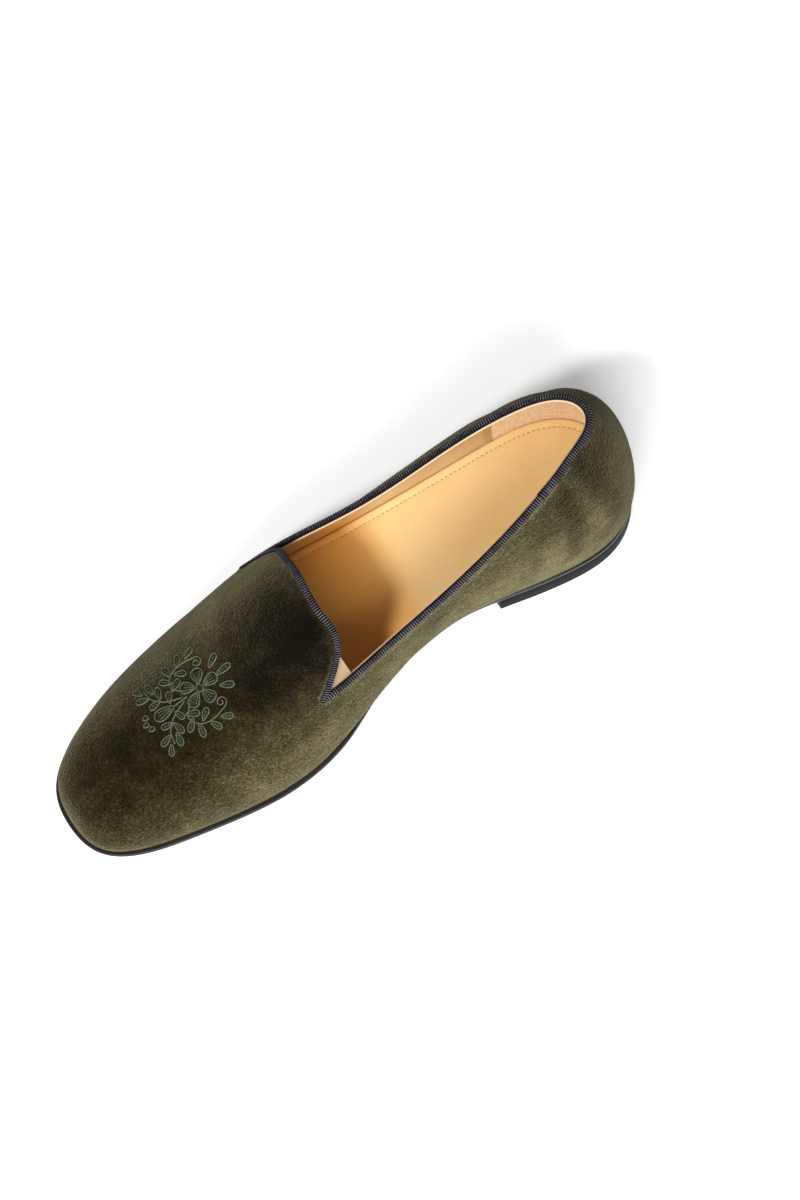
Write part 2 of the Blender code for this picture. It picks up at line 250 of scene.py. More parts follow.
def surface(around, t):
    """Points on the upper's outer face: t runs up the rib from the feather edge at 0 to the crest at 1."""
    around, t = np.broadcast_arrays(np.asarray(around, float), np.asarray(t, float))
    here = section(around)
    across_x = here.half - here.ridge_x
    across_y = here.ridge_station - here.station
    reach = np.hypot(across_x, across_y)
    across_x = across_x / reach
    across_y = across_y / reach
    b0, b1, b2, b3 = (1 - t) ** 3, 3 * t * (1 - t) ** 2, 3 * t**2 * (1 - t), t**3
    square = here.shoulder * reach
    out = b0 * reach + b1 * (reach + here.bulge) + b2 * square
    crown = here.ridge_z - ridge_slope(around) * across_y * square
    up = b0 * here.feather_z + b1 * (here.feather_z + here.rise) + b2 * crown + b3 * here.ridge_z
    x = here.ridge_x + across_x * out - ORIGIN_X
    y = -here.ridge_station + across_y * out + ORIGIN_STATION
    return np.stack([x, y, up], -1)


POSITIONS = np.linspace(HEEL_END, TOE_END, POSITION_SAMPLES)
POSITION_STATIONS = section(POSITIONS).station


def position_at(station):
    """The place on the last whose feather edge is at a station."""
    return np.interp(station, POSITION_STATIONS, POSITIONS)


def topline(around):
    """How far up a rib the collar's edge lies."""
    around = np.asarray(around, float)
    height = section(around).topline
    low = np.zeros_like(around)
    high = np.ones_like(around)
    for _ in range(HALVINGS):
        middle = (low + high) / 2
        under = surface(around, middle)[..., 2] < height
        low = np.where(under, middle, low)
        high = np.where(under, high, middle)
    return (low + high) / 2


CORNER = float(position_at(CORNER_STATION))
CORNER_T = {side: float(topline(side * CORNER)) for side in SIDES}


def throat(t, side, lift=0.0):
    """Where the throat's edge lies at a height: it dips at the crest and sweeps down to the corner."""
    drop = np.maximum((THROAT_BEND[side] - t) / (THROAT_BEND[side] - CORNER_T[side]), 0.0)
    near_crest = np.clip((t - DIP_START) / (1.0 - DIP_START), 0.0, 1.0)
    dip = THROAT_DIP * near_crest**2 * (3.0 - 2.0 * near_crest)
    sweep = (CORNER_STATION - THROAT_STATION) * drop ** THROAT_SWEEP[side]
    return position_at(THROAT_STATION - lift + dip + sweep)


def unit(vectors):
    """Vectors along the last axis, made one long."""
    return vectors / np.linalg.norm(vectors, axis=-1, keepdims=True)


def tangents(around, t):
    """Directions along the foot and up the rib on the upper's face, and its outward normal."""
    down_foot = (surface(around + SMALL_STEP, t) - surface(around - SMALL_STEP, t)) / (2 * SMALL_STEP)
    up_rib = (surface(around, t + SMALL_STEP) - surface(around, t - SMALL_STEP)) / (2 * SMALL_STEP)
    return down_foot, up_rib, unit(np.cross(up_rib, down_foot))


def outline(around, out, height):
    """Points beside the feather edge, moved out square to the outline, at given heights."""
    around = np.asarray(around, float)
    before = section(around - SMALL_STEP)
    after = section(around + SMALL_STEP)
    here = section(around)
    along = unit(np.stack([after.half - before.half, before.station - after.station], -1))
    x = here.half - along[..., 1] * out - ORIGIN_X
    y = -here.station + along[..., 0] * out + ORIGIN_STATION
    return np.stack([x, y, np.broadcast_to(height, x.shape)], -1)


# Mesh tools


def grid_faces(rows, columns, start=0, flip=False):
    """Four-sided faces of a grid of points stored row by row."""
    row, column = np.meshgrid(np.arange(rows - 1), np.arange(columns - 1), indexing="ij")
    first = (start + row * columns + column).ravel()
    faces = np.stack([first, first + 1, first + columns + 1, first + columns], -1)
    return (faces[:, ::-1] if flip else faces).tolist()


def lengths_along(points):
    """Distance of each point from the first, measured along the path."""
    return np.concatenate([[0.0], np.cumsum(np.linalg.norm(np.diff(points, axis=0), axis=1))])


def joined(parts):
    """One mesh of several."""
    points = []
    faces = []
    count = 0
    for part_points, part_faces in parts:
        faces += [[corner + count for corner in face] for face in part_faces]
        points.append(part_points)
        count += len(part_points)
    return np.vstack(points), faces


def weld(points, faces):
    """Merges coincident points and drops the faces that lose their area."""
    keys = np.round(np.asarray(points) / WELD).astype(np.int64)
    _, first, index = np.unique(keys, axis=0, return_index=True, return_inverse=True)
    index = index.reshape(-1).tolist()
    kept = []
    for face in faces:
        loop = list(dict.fromkeys(index[corner] for corner in face))
        if len(loop) > 2:
            kept.append(loop)
    return np.asarray(points)[first], kept


def vertex_normals(points, faces):
    """Average normal of the faces round each point."""
    normals = np.zeros_like(points)
    for size in (3, 4):
        chosen = np.array([face for face in faces if len(face) == size])
        if len(chosen) == 0:
            continue
        first = points[chosen[:, 2]] - points[chosen[:, 0]]
        second = points[chosen[:, -1]] - points[chosen[:, 1]]
        square = np.cross(first, second)
        for corner in range(size):
            np.add.at(normals, chosen[:, corner], square)
    return normals / np.maximum(np.linalg.norm(normals, axis=1, keepdims=True), 1e-12)


def shell(points, faces, outer, inner):
    """A closed wall between two offsets from an open surface."""
    normals = vertex_normals(points, faces)
    count = len(points)
    walls = np.vstack([points + normals * outer, points + normals * inner])
    inside = [[corner + count for corner in reversed(face)] for face in faces]
    edges = {(a, b) for face in faces for a, b in zip(face, face[1:] + face[:1])}
    rim = [[b, a, a + count, b + count] for a, b in sorted(edges) if (b, a) not in edges]
    return walls, faces + inside + rim


def add_piece(name, points, faces, material, slot, replaces=(), sharp=50.0):
    """A mesh object in the frame, from points in millimetres, that rides on the shoe."""
    mesh = bpy.data.meshes.new(name)
    mesh.from_pydata((np.asarray(points) * MM).tolist(), [], [list(face) for face in faces])
    mesh.update()
    mesh.shade_smooth()
    mesh.set_sharp_from_angle(angle=np.radians(sharp))
    mesh.materials.append(material)
    made = bpy.data.objects.new(name, mesh)
    bpy.context.scene.collection.objects.link(made)
    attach(made, BODY)
    if replaces:
        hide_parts(*replaces)
    return made


def upper_grid(quarter_ribs, vamp_ribs, quarter_rows, vamp_rows, lift=0.0, parts=("quarter", "vamp")):
    """An open surface over the last, cut at collar and throat. Lift moves the cut up past the edge."""
    grids = []
    for side in SIDES:
        if "quarter" in parts:
            around = side * CORNER * (np.arange(quarter_ribs + 1) / quarter_ribs) ** HEEL_CROWDING
            top = topline(around)
            climb = np.linalg.norm(tangents(around, top)[1], axis=-1)
            share = np.arange(quarter_rows + 1) / quarter_rows
            t = (top + lift / climb)[:, None] * share[None, :]
            grids.append((surface(around[:, None], t), side))
        if "vamp" in parts:
            along = np.arange(vamp_ribs + 1)[:, None] / vamp_ribs
            row = np.arange(quarter_rows + vamp_rows + 1)[None, :]
            split = CORNER_T[side] + (TIP_SPLIT - CORNER_T[side]) * along
            climbing = np.clip(row - quarter_rows, 0, None) / vamp_rows
            t = np.where(row < quarter_rows, split * row / quarter_rows, split + (1.0 - split) * climbing)
            edge = throat(CORNER_T[side] + (1.0 - CORNER_T[side]) * climbing, side, lift)
            bend = np.maximum(0.0, 1.0 - along / BEND_REACH) ** 2
            position = CORNER + (TOE_END - CORNER) * along + bend * (edge - CORNER)
            grids.append((surface(side * position, t), side))
    return weld(*joined([
        (grid.reshape(-1, 3), grid_faces(*grid.shape[:2], flip=side == LATERAL)) for grid, side in grids
    ]))


def rib_strip(around, top, rows, flip=False):
    """An open surface of whole ribs, from the feather edge up to a height on each."""
    share = np.linspace(0.0, 1.0, rows)
    grid = surface(around[:, None], top[:, None] * share[None, :])
    return weld(grid.reshape(-1, 3), grid_faces(len(around), rows, flip=flip))


# Material tools


def new_material(name, colour, roughness, **sockets):
    """A material with one Principled shader and its fixed values, and the shader itself."""
    material = bpy.data.materials.new(name)
    material.use_nodes = True
    shader = material.node_tree.nodes["Principled BSDF"]
    shader.inputs["Base Color"].default_value = (*colour, 1.0)
    shader.inputs["Roughness"].default_value = roughness
    for socket, value in sockets.items():
        shader.inputs[socket.replace("_", " ")].default_value = value
    return material, shader


def node(material, kind, **values):
    """A new node with its properties set."""
    made = material.node_tree.nodes.new(kind)
    for name, value in values.items():
        setattr(made, name, value)
    return made


def link(material, output, socket):
    """A link between two sockets of a material."""
    material.node_tree.links.new(output, socket)


def noise_node(material, size, detail=2.0, stretch=None, turn=(0.0, 0.0, 0.0)):
    """Noise with grains of about a size in millimetres on the shoe, stretched and turned where asked."""
    place = node(material, "ShaderNodeTexCoord").outputs["Object"]
    texture = node(material, "ShaderNodeTexNoise")
    texture.inputs["Scale"].default_value = 1.0 / (size * MM)
    texture.inputs["Detail"].default_value = detail
    if stretch:
        mapping = node(material, "ShaderNodeMapping")
        mapping.inputs["Scale"].default_value = stretch
        mapping.inputs["Rotation"].default_value = np.radians(turn)
        link(material, place, mapping.inputs["Vector"])
        place = mapping.outputs["Vector"]
    link(material, place, texture.inputs["Vector"])
    return texture.outputs["Fac"]


def scaled_sum(material, terms):
    """Sum of outputs, each less its middle and times its weight."""
    total = None
    for output, middle, weight in terms:
        part = node(material, "ShaderNodeMath", operation="MULTIPLY_ADD")
        link(material, output, part.inputs[0])
        part.inputs[1].default_value = weight
        part.inputs[2].default_value = -middle * weight
        if total is not None:
            both = node(material, "ShaderNodeMath", operation="ADD")
            link(material, total, both.inputs[0])
            link(material, part.outputs[0], both.inputs[1])
            total = both.outputs[0]
        else:
            total = part.outputs[0]
    return total


def paint(material, shader, factor, stops):
    """The shader's base colour along a factor: stops are (place, colour) pairs."""
    ramp = node(material, "ShaderNodeValToRGB")
    elements = ramp.color_ramp.elements
    while len(elements) < len(stops):
        elements.new(0.5)
    for element, (place, colour) in zip(elements, stops):
        element.position = place
        element.color = (*colour, 1.0)
    link(material, factor, ramp.inputs["Fac"])
    link(material, ramp.outputs["Color"], shader.inputs["Base Color"])


def bump(material, shader, height, distance, strength=1.0):
    """Bump of a height in millimetres on the shader's normal."""
    made = node(material, "ShaderNodeBump")
    made.inputs["Strength"].default_value = strength
    made.inputs["Distance"].default_value = distance * MM
    link(material, height, made.inputs["Height"])
    link(material, made.outputs["Normal"], shader.inputs["Normal"])


def attribute(material, name):
    """A value stored with the mesh's points."""
    return node(material, "ShaderNodeAttribute", attribute_name=name).outputs["Fac"]


# Materials

PILE_TURN = (35.0, 0.0, 0.0)
MIX_FACTOR = 0
MIX_FIRST_COLOUR = 6
MIX_SECOND_COLOUR = 7
MIX_COLOUR_RESULT = 2


def velvet_material():
    """Olive velvet: dark to pale with a stored tone of brushed nap and painted light and shade, with
    drifting nap and fine tufts.
    """
    material, shader = new_material(
        "olive_velvet", (0.03, 0.026, 0.013), 0.95, Sheen_Weight=0.42, Sheen_Roughness=0.38,
        Sheen_Tint=(0.60, 0.54, 0.31, 1.0), Specular_IOR_Level=0.03,
    )
    clumps = noise_node(material, 1.6, 2.0)
    tufts = noise_node(material, 0.7, 3.0)
    fibres = noise_node(material, 0.8, 3.0, (1.0, 0.55, 1.0), PILE_TURN)
    brushed = noise_node(material, 5.0, 3.0, (1.0, 0.4, 1.0), PILE_TURN)
    drift = noise_node(material, 10.0, 3.0)
    # The stored tone holds brushed nap and also painted light and shade, painted into the base colour
    tone = scaled_sum(material, (
        (attribute(material, "nap_and_shading"), -0.45, 1.0), (drift, 0.5, 0.10), (brushed, 0.5, 0.18),
        (clumps, 0.5, 0.30), (fibres, 0.5, 0.55), (tufts, 0.5, 0.75),
    ))
    paint(material, shader, tone, (
        (0.0, (0.003, 0.002, 0.001)), (0.28, (0.015, 0.0108, 0.0042)), (0.5, (0.036, 0.0303, 0.0126)),
        (1.0, (0.178, 0.157, 0.077)),
    ))
    height = scaled_sum(material, (
        (clumps, 0.5, 0.6), (tufts, 0.5, 0.9), (fibres, 0.5, 0.9), (brushed, 0.5, 0.8),
    ))
    bump(material, shader, height, 0.8, 0.9)
    return material


def grosgrain_material():
    """Near-black ribbed tape with a faint blue cast, and painted highlights along the crests of its ribs.
    """
    material, shader = new_material("grosgrain", (0.010, 0.010, 0.013), 0.7, Specular_IOR_Level=0.12)
    fibre = noise_node(material, 0.25, 2.0)
    worn = noise_node(material, 6.0, 3.0)
    rib = attribute(material, "rib")
    # Painted highlight: the rib value lifts the crests of the ribs from near-black to pale grey
    tone = scaled_sum(material, ((rib, -1.0, 0.4), (fibre, 0.5, 0.5), (worn, 0.5, 0.3)))
    paint(material, shader, tone, (
        (0.1, (0.001, 0.001, 0.002)), (0.6, (0.005, 0.005, 0.007)), (0.9, (0.23, 0.22, 0.255)),
    ))
    bump(material, shader, fibre, 0.12, 0.6)
    return material


def leather_material(name, dark, mid, light, roughness, grain, coat):
    """Smooth leather with fine pores and a slow change of tone."""
    material, shader = new_material(
        name, mid, roughness, Coat_Weight=coat, Coat_Roughness=0.35, Specular_IOR_Level=0.25,
    )
    slow = noise_node(material, 30.0, 3.0)
    pores = noise_node(material, grain, 3.0)
    tone = scaled_sum(material, ((slow, 0.0, 0.75), (pores, 0.3, 0.4)))
    paint(material, shader, tone, ((0.15, dark), (0.5, mid), (0.85, light)))
    bump(material, shader, pores, 0.1, 0.5)
    return material


def paint_shade_under_vamp(material):
    """Paints shade into the leather where it runs in under the vamp, warmer and darker towards the toe."""
    shader = material.node_tree.nodes["Principled BSDF"]
    colour = shader.inputs["Base Color"].links[0].from_socket
    place = node(material, "ShaderNodeTexCoord")
    axes = node(material, "ShaderNodeSeparateXYZ")
    link(material, place.outputs["Object"], axes.inputs["Vector"])
    depth = node(material, "ShaderNodeMapRange", interpolation_type="SMOOTHSTEP")
    depth.inputs["From Min"].default_value = (ORIGIN_STATION - PAINTED_SHADE_FROM) * MM
    depth.inputs["From Max"].default_value = (ORIGIN_STATION - PAINTED_SHADE_TO) * MM
    link(material, axes.outputs["Y"], depth.inputs["Value"])
    mix = node(material, "ShaderNodeMix", data_type="RGBA", blend_type="MULTIPLY")
    link(material, depth.outputs["Result"], mix.inputs[MIX_FACTOR])
    link(material, colour, mix.inputs[MIX_FIRST_COLOUR])
    mix.inputs[MIX_SECOND_COLOUR].default_value = (*PAINTED_SHADE_TINT, 1.0)
    link(material, mix.outputs[MIX_COLOUR_RESULT], shader.inputs["Base Color"])


def suede_material():
    """Beige suede with short felted grain."""
    material, shader = new_material(
        "heel_grip_suede", (0.72, 0.50, 0.32), 0.9,
        Sheen_Weight=0.4, Sheen_Roughness=0.6, Sheen_Tint=(0.9, 0.75, 0.6, 1.0), Specular_IOR_Level=0.1,
    )
    grain = noise_node(material, 1.5, 3.0)
    fine = noise_node(material, 0.5, 2.0)
    tone = scaled_sum(material, ((grain, 0.15, 0.8), (fine, 0.3, 0.5)))
    paint(material, shader, tone, (
        (0.15, (0.60, 0.40, 0.22)), (0.5, (0.83, 0.60, 0.37)), (0.85, (0.95, 0.77, 0.54)),
    ))
    bump(material, shader, scaled_sum(material, ((grain, 0.5, 0.6), (fine, 0.5, 0.5))), 0.3, 0.6)
    return material


def polished_sole_material():
    """Black-brown polished sole leather with soft gloss."""
    material, shader = new_material(
        "polished_sole", (0.012, 0.010, 0.009), 0.45,
        Coat_Weight=0.14, Coat_Roughness=0.25, Specular_IOR_Level=0.25,
    )
    slow = noise_node(material, 40.0, 3.0)
    pores = noise_node(material, 0.5, 3.0)
    tone = scaled_sum(material, ((slow, 0.0, 0.8), (pores, 0.4, 0.3)))
    paint(material, shader, tone, ((0.2, (0.007, 0.006, 0.005)), (0.7, (0.018, 0.014, 0.013))))
    rough = node(material, "ShaderNodeMapRange")
    rough.inputs["To Min"].default_value = 0.34
    rough.inputs["To Max"].default_value = 0.52
    link(material, slow, rough.inputs["Value"])
    link(material, rough.outputs["Result"], shader.inputs["Roughness"])
    bump(material, shader, pores, 0.05, 0.4)
    return material


def rubber_material():
    """Charcoal heel with a matt, finely pitted face."""
    material, shader = new_material("heel_rubber", (0.009, 0.009, 0.011), 0.6, Specular_IOR_Level=0.06)
    pits = noise_node(material, 0.45, 3.0)
    slow = noise_node(material, 25.0, 2.0)
    tone = scaled_sum(material, ((slow, 0.0, 0.8), (pits, 0.4, 0.35)))
    paint(material, shader, tone, ((0.2, (0.004, 0.004, 0.005)), (0.75, (0.009, 0.009, 0.011))))
    bump(material, shader, pits, 0.06, 0.4)
    return material


def thread_material(name, dark, light):
    """Twisted thread."""
    material, shader = new_material(
        name, light, 0.7, Sheen_Weight=0.1, Sheen_Roughness=0.4, Sheen_Tint=(*light, 1.0),
        Specular_IOR_Level=0.15,
    )
    strands = noise_node(material, 0.35, 2.0)
    paint(material, shader, strands, ((0.3, dark), (0.7, light)))
    bump(material, shader, strands, 0.15, 0.7)
    return material


VELVET = velvet_material()
GROSGRAIN = grosgrain_material()
INSOLE_LEATHER = leather_material(
    "insole_leather", (0.69, 0.46, 0.19), (0.74, 0.52, 0.235), (0.78, 0.56, 0.28), 0.62, 0.6, 0.02
)
LINING_LEATHER = leather_material(
    "lining_leather", (0.48, 0.31, 0.14), (0.58, 0.39, 0.19), (0.68, 0.48, 0.26), 0.7, 0.8, 0.0
)
SEAM_LEATHER = leather_material(
    "seam_leather", (0.42, 0.25, 0.09), (0.50, 0.32, 0.13), (0.58, 0.39, 0.18), 0.6, 0.8, 0.0
)
EDGE_LEATHER = leather_material(
    "edge_leather", (0.48, 0.32, 0.19), (0.57, 0.40, 0.25), (0.65, 0.48, 0.32), 0.75, 0.8, 0.0
)
PALE_LINING = leather_material(
    "pale_lining", (0.26, 0.17, 0.10), (0.34, 0.23, 0.14), (0.42, 0.30, 0.20), 0.7, 0.9, 0.0
)
# Painted shade on the insole and the lining under the vamp
paint_shade_under_vamp(INSOLE_LEATHER)
paint_shade_under_vamp(LINING_LEATHER)
SUEDE = suede_material()
SOLE_LEATHER = polished_sole_material()
RUBBER = rubber_material()
OUTLINE_THREAD = thread_material("outline_thread", (0.035, 0.042, 0.022), (0.15, 0.165, 0.105))
GROUND_THREAD = thread_material("ground_thread", (0.004, 0.006, 0.002), (0.014, 0.019, 0.008))
STITCH_THREAD = thread_material("stitch_thread", (0.38, 0.21, 0.07), (0.62, 0.40, 0.17))


# Velvet upper

# Soft troughs and ridges in the velvet. Each runs between two places on the last, given by side, station
# and share of the way up the rib. A depth below zero is a trough; the last column paints shade into a
# trough and light onto a ridge.
CREASE_COLUMNS = ("side", "station", "up", "end_station", "end_up", "width", "depth", "nap_and_shading")
CREASES = (
    (MEDIAL, 30.0, 0.58, 42.0, 0.22, 4.5, -0.45, -0.25),
    (MEDIAL, 20.0, 0.62, 24.0, 0.30, 4.0, 0.30, 0.12),
    (MEDIAL, 10.0, 0.66, 13.0, 0.30, 4.5, -0.40, -0.22),
    (MEDIAL, 52.0, 0.46, 64.0, 0.18, 5.0, -0.30, -0.15),
    (MEDIAL, 104.0, 0.40, 122.0, 0.16, 6.0, -0.35, -0.10),
    (LATERAL, 12.0, 0.64, 16.0, 0.28, 4.5, -0.40, -0.22),
    (LATERAL, 34.0, 0.58, 46.0, 0.22, 5.0, -0.40, -0.20),
    (LATERAL, 100.0, 0.42, 118.0, 0.16, 6.5, -0.35, -0.10),
    (MEDIAL, 176.0, 0.50, 184.0, 0.92, 6.0, -0.35, -0.12),
    (LATERAL, 172.0, 0.42, 186.0, 0.90, 6.5, -0.35, -0.12),
    (LATERAL, 196.0, 0.40, 206.0, 0.86, 6.0, -0.25, -0.08),
)

# Soft folds of the lateral lining, raised into the shoe
FOLD_COLUMNS = ("station", "z", "length", "width", "slope", "height")
LINING_FOLDS = (
    (56.0, 50.0, 9.0, 2.4, 0.25, 1.0),
    (68.0, 44.0, 12.0, 2.2, 0.45, 1.2),
    (79.0, 38.0, 8.0, 2.0, 0.7, 1.1),
    (90.0, 36.0, 9.0, 2.0, 0.5, 0.9),
    (62.0, 32.0, 10.0, 2.6, -0.2, 0.9),
)

# Patches of the velvet's tone, partly brushed nap and partly painted light and shade: lighter low on the
# sides and darker along the top of vamp and heel. Centre, size in each direction and how much lighter or
# darker
NAP_AND_SHADING_COLUMNS = ("station", "x", "z", "along", "across", "up", "tone")
NAP_AND_SHADING_PATCHES = (
    (171.0, -12.0, 54.0, 11.0, 9.0, 12.0, -0.34),
    (188.0, 11.0, 50.0, 10.0, 8.0, 12.0, -0.26),
    (162.0, 9.0, 62.0, 13.0, 14.0, 12.0, -0.60),
    (243.0, -1.0, 34.0, 14.0, 12.0, 12.0, -0.20),
    (234.0, 20.0, 34.0, 14.0, 9.0, 12.0, -0.16),
    (264.0, 8.0, 31.0, 12.0, 14.0, 10.0, -0.20),
    (210.0, -2.0, 41.0, 16.0, 17.0, 12.0, -0.22),
    (186.0, 42.0, 22.0, 26.0, 11.0, 14.0, 0.13),
    (12.0, 8.0, 74.0, 12.0, 18.0, 10.0, -0.22),
    (190.0, -28.0, 34.0, 30.0, 10.0, 10.0, 0.10),
    (100.0, 30.0, 36.0, 34.0, 10.0, 16.0, 0.16),
    (48.0, 33.0, 36.0, 18.0, 9.0, 14.0, 0.22),
)


def edge_points():
    """Points close together along the upper's cut edges at collar and throat."""
    around = np.linspace(-CORNER, CORNER, EDGE_SAMPLES)
    found = [surface(around, topline(around))]
    for side in SIDES:
        t = np.linspace(CORNER_T[side], 1.0, THROAT_SAMPLES)
        found.append(surface(side * throat(t, side), t))
    return np.vstack(found)


def distance_to(points, targets):
    """Distance of each point from the nearest target."""
    tree = KDTree(len(targets))
    for index, target in enumerate(targets):
        tree.insert(target, index)
    tree.balance()
    return np.array([tree.find(point)[2] for point in points])


def bell(value, centre, width):
    """A smooth hump, one high at its centre."""
    return np.exp(-(((value - centre) / width) ** 2))


def crease_line(row):
    """Points along one crease."""
    crease = dict(zip(CREASE_COLUMNS, row))
    share = np.linspace(0.0, 1.0, CREASE_SAMPLES)
    station = crease["station"] + (crease["end_station"] - crease["station"]) * share
    up = crease["up"] + (crease["end_up"] - crease["up"]) * share
    return surface(crease["side"] * position_at(station), up), crease


def unevenness(points, size):
    """Smooth noise at points, with grains of a size along each axis."""
    return np.array([noise.noise(Vector(place)) for place in points / np.array(size)])


def build_velvet():
    """The outer velvet wall with creases, a soft roll beside the tape, and a stored tone of brushed nap
    with painted light and shade.
    """
    points, faces = upper_grid(**VELVET_MESH)
    normals = vertex_normals(points, faces)
    from_edge = distance_to(points, edge_points())
    lift = sum(height * bell(from_edge, centre, width) for height, centre, width in (EDGE_ROLL, EDGE_DIP))
    # Painted sheen: a lighter band on the raised pile beside the edge
    tone, centre, width = EDGE_PILE_SHEEN
    nap_and_shading = tone * bell(from_edge, centre, width)
    # Painted shade in each crease's trough and painted light on its ridge
    for row in CREASES:
        line, crease = crease_line(row)
        away = bell(distance_to(points, line), 0.0, crease["width"])
        lift += crease["depth"] * away
        nap_and_shading += crease["nap_and_shading"] * away
    station = ORIGIN_STATION - points[:, 1]
    mottle = unevenness(points, MOTTLE_SIZE)
    # Painted light low on the sides and painted shade along the top, mixed with brushed nap
    for row in NAP_AND_SHADING_PATCHES:
        patch = dict(zip(NAP_AND_SHADING_COLUMNS, row))
        away = ((station - patch["station"]) / patch["along"]) ** 2
        away += ((points[:, 0] - patch["x"]) / patch["across"]) ** 2
        away += ((points[:, 2] - patch["z"]) / patch["up"]) ** 2
        nap_and_shading += patch["tone"] * np.exp(-away / 2) * (1.0 + MOTTLE_SHARE * mottle)
    waves = unevenness(points, WAVE_SIZE)
    lift += WAVE_HEIGHT * waves
    nap_and_shading += WAVE_NAP * waves + STREAK_NAP * unevenness(points, STREAK_SIZE)
    face = points + normals * lift[:, None]
    velvet = add_piece(
        "velvet_upper", *shell(face, faces, 0.0, -VELVET_THICKNESS), VELVET, "velvet", ("upper",)
    )
    # Stores the tone, brushed nap with painted light and shade, for the velvet's colour
    layer = velvet.data.attributes.new("nap_and_shading", "FLOAT", "POINT")
    layer.data.foreach_set("value", np.tile(nap_and_shading, 2).astype(np.float32))
    return BVHTree.FromPolygons(face.tolist(), faces)


def folded(points, faces):
    """The lining's surface with soft folds pressed into its lateral side."""
    station = ORIGIN_STATION - points[:, 1]
    rise = np.zeros(len(points))
    for row in LINING_FOLDS:
        fold = dict(zip(FOLD_COLUMNS, row))
        along = station - fold["station"]
        across = points[:, 2] - fold["z"] + fold["slope"] * along
        rise += fold["height"] * np.exp(-((along / fold["length"]) ** 2) - (across / fold["width"]) ** 2)
    rise *= points[:, 0] < 0
    return points - vertex_normals(points, faces) * rise[:, None]


def build_linings():
    """Tan quarter lining, pale vamp lining, and the suede grip round the heel with a seam at each end."""
    points, faces = upper_grid(**LINING_MESH, lift=LINING_LIFT, parts=("quarter",))
    walls = shell(folded(points, faces), faces, LINING_OUTER, LINING_INNER)
    add_piece("quarter_lining", *walls, LINING_LEATHER, "insole_leather")
    points, faces = upper_grid(**LINING_MESH, lift=VAMP_LINING_LIFT, parts=("vamp",))
    add_piece("vamp_lining", *shell(points, faces, LINING_OUTER, -WALL), PALE_LINING, "insole_leather")
    end = float(position_at(GRIP_STATION))
    around = np.linspace(-end, end, GRIP_RIBS)
    grip = rib_strip(around, topline(around) - GRIP_DROP, GRIP_ROWS)
    add_piece("heel_grip", *shell(*grip, GRIP_OUTER, GRIP_INNER), SUEDE, "insole_leather")
    for side in SIDES:
        around = side * position_at(GRIP_STATION + np.linspace(*SEAM_SPAN, SEAM_RIBS))
        seam = rib_strip(around, topline(around) - SEAM_DROP, GRIP_ROWS, flip=side == LATERAL)
        walls = shell(*seam, SEAM_OUTER, SEAM_INNER)
        add_piece(f"grip_seam_{SIDE_NAMES[side]}", *walls, SEAM_LEATHER, "insole_leather")


def build_lining_edge():
    """The lining's pale cut edge, just inside the collar tape."""
    around = np.linspace(-CORNER, CORNER, EDGE_RIBS)
    top = topline(around)
    climb = np.linalg.norm(tangents(around, top)[1], axis=-1)
    grid = surface(around[:, None], top[:, None] + np.array(EDGE_HEIGHTS)[None, :] / climb[:, None])
    points, faces = weld(grid.reshape(-1, 3), grid_faces(EDGE_RIBS, len(EDGE_HEIGHTS)))
    add_piece("lining_edge", *shell(points, faces, EDGE_OUTER, EDGE_INNER), EDGE_LEATHER, "insole_leather")


def build_tabs():
    """Pale lining left uncut across each corner of the throat."""
    for side in SIDES:
        share = np.linspace(0.0, 1.0, TAB_ROWS)
        collar = position_at(CORNER_STATION - TAB_REACH * share)
        collar_t = topline(side * collar)
        edge_t = CORNER_T[side] + np.linspace(0.0, TAB_RISE, TAB_ROWS)
        edge = throat(edge_t, side)
        mix = np.linspace(-TAB_TUCK, 1.0 + TAB_TUCK, TAB_COLUMNS)[None, :]
        around = side * (collar[:, None] * (1 - mix) + edge[:, None] * mix)
        grid = surface(around, collar_t[:, None] * (1 - mix) + edge_t[:, None] * mix)
        points, faces = weld(grid.reshape(-1, 3), grid_faces(TAB_ROWS, TAB_COLUMNS, flip=side == MEDIAL))
        walls = shell(points, faces, TAB_OUTER, TAB_INNER)
        add_piece(f"throat_tab_{SIDE_NAMES[side]}", *walls, PALE_LINING, "insole_leather")


# Tapes

# Section of the folded tape: offset out of the upper's face, distance in from its edge,
# and how much the ribs show
TAPE_PROFILE = (
    (0.05, 2.15, 0.0), (0.36, TAPE_WIDTH, 0.5), (0.56, 2.0, 1.0), (0.64, 1.4, 1.0), (0.64, 0.7, 1.0),
    (0.56, 0.1, 1.0), (0.34, -0.30, 1.0), (-0.06, -0.52, 0.9), (-0.60, -0.58, 0.6), (-1.16, -0.46, 0.3),
    (-1.60, -0.12, 0.0), (-1.78, 0.9, 0.0), (-1.56, 0.9, 0.0), (-0.90, -0.1, 0.0), (-0.05, -0.12, 0.0),
    (0.05, 0.3, 0.0),
)


def profile_normals(profile):
    """Outward directions round the tape's section."""
    along = np.roll(profile, -1, 0) - np.roll(profile, 1, 0)
    normals = unit(np.stack([along[:, 1], -along[:, 0]], -1))
    outward = (normals * (profile - profile.mean(0))).sum()
    return normals * np.sign(outward)


